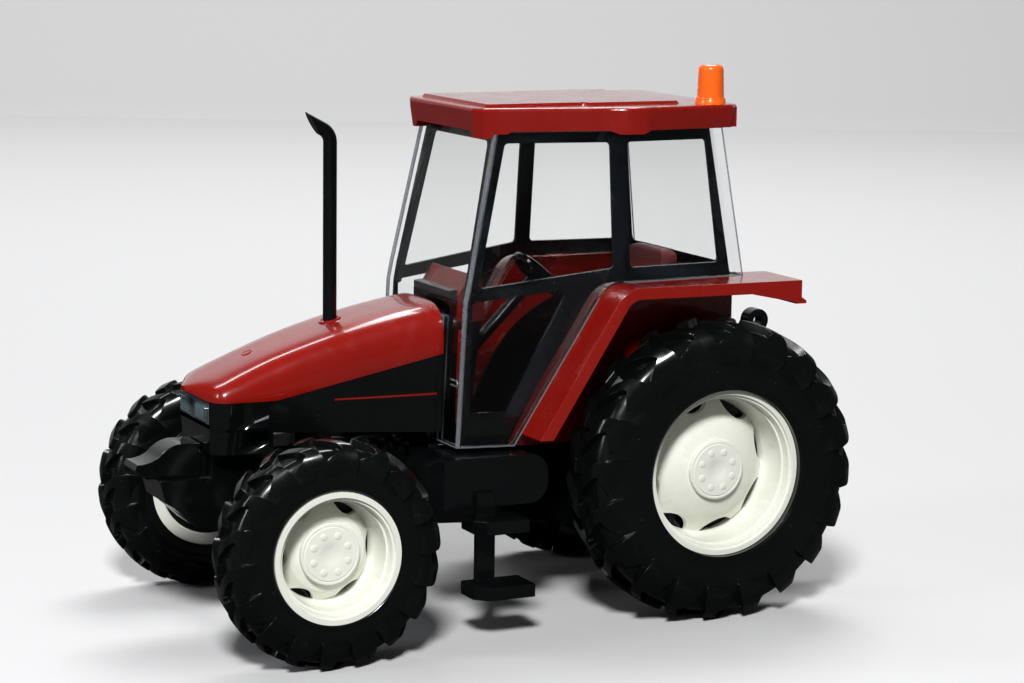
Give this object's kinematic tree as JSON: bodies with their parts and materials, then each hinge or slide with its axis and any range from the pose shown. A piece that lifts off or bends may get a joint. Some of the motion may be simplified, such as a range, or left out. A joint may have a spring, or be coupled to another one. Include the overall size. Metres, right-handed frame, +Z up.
{
  "type": "toy farm tractor",
  "caption": "Small-scale toy farm tractor with a glazed cab, lugged tyres on dished rims, steered front axle and raised rear lift arms.",
  "frame": {"origin": "on the ground under the middle of the bounding box", "axes": "+X forward, +Y to the driver's left, +Z up"},
  "size_m": [0.1247, 0.0694, 0.0928],
  "materials": {
    "tyre_black": "glossy moulded",
    "rim_cream": "smooth moulded",
    "body_red": "glossy",
    "clear_plastic": "clear moulded",
    "seat_red": "satin",
    "beacon_orange": "translucent look",
    "lamp_silver": "silver paint",
    "pin_steel": "plain",
    "body_black": "glossy"
  },
  "bodies": {
    "chassis": {"beacon": "beacon_orange", "bonnet": "body_red", "bonnet_side_panels": "body_black", "cab_frame": "body_black", "cab_glass": "clear_plastic", "cab_tub": "body_red", "dash": "body_red", "engine": "body_black", "exhaust": "body_black", "fender_left": "body_red", "fender_right": "body_red", "front_axle_beam": "body_black", "front_carrier": "body_black", "gearbox": "body_black", "headlamps": "lamp_silver", "nose_block": "body_black", "rear_axle_pin": "pin_steel", "roof": "body_red", "seat": "seat_red", "seat_pedestal": "body_black", "side_tank_left": "body_black", "side_tank_right": "body_black", "steering_wheel": "body_black", "steps_left": "body_black", "steps_right": "body_black", "top_link_bracket": "body_black", "tow_bar": "body_black"},
    "rear_wheel_left": {"rim_rear_left": "rim_cream", "tyre_rear_left": "tyre_black"},
    "rear_wheel_right": {"rim_rear_right": "rim_cream", "tyre_rear_right": "tyre_black"},
    "front_wheel_left": {"rim_front_left": "rim_cream", "tyre_front_left": "tyre_black"},
    "front_wheel_right": {"rim_front_right": "rim_cream", "tyre_front_right": "tyre_black"},
    "knuckle_left": {"knuckle_left": "body_black"},
    "knuckle_right": {"knuckle_right": "body_black"},
    "tie_rod": {"tie_rod": "body_black"},
    "lift_arms": {"lift_arms": "body_black"}
  },
  "joints": [
    {"name": "rear_wheel_left_spin", "type": "hinge", "parent": "chassis", "child": "rear_wheel_left", "pos_m": [-0.03185, 0.02465, 0.0255], "axis": [0, 1, 0], "continuous": true},
    {"name": "steer_left", "type": "hinge", "parent": "chassis", "child": "knuckle_left", "pos_m": [0.03955, 0.0208, 0.01835], "axis": [0, 0, 1], "range_deg": [-20, 20]},
    {"name": "front_wheel_left_spin", "type": "hinge", "parent": "knuckle_left", "child": "front_wheel_left", "pos_m": [0.03955, 0.02935, 0.01835], "axis": [0, 1, 0], "continuous": true},
    {"name": "rear_wheel_right_spin", "type": "hinge", "parent": "chassis", "child": "rear_wheel_right", "pos_m": [-0.03185, -0.02465, 0.0255], "axis": [0, 1, 0], "continuous": true},
    {"name": "steer_right", "type": "hinge", "parent": "chassis", "child": "knuckle_right", "pos_m": [0.03955, -0.0208, 0.01835], "axis": [0, 0, 1], "range_deg": [-20, 20]},
    {"name": "front_wheel_right_spin", "type": "hinge", "parent": "knuckle_right", "child": "front_wheel_right", "pos_m": [0.03955, -0.02935, 0.01835], "axis": [0, 1, 0], "continuous": true},
    {"name": "tie_rod_swing", "type": "hinge", "parent": "knuckle_left", "child": "tie_rod", "pos_m": [0.03305, 0.0208, 0.01615], "axis": [0, 0, 1], "range_deg": [-20, 20]},
    {"name": "lift_arms_raise", "type": "hinge", "parent": "chassis", "child": "lift_arms", "pos_m": [-0.04435, 0, 0.0194], "axis": [0, 1, 0], "range_deg": [-5, 40]}
  ],
  "couplings": [
    {"joint": "steer_right", "follows": "steer_left", "ratio": 1},
    {"joint": "tie_rod_swing", "follows": "steer_left", "ratio": -1}
  ]
}
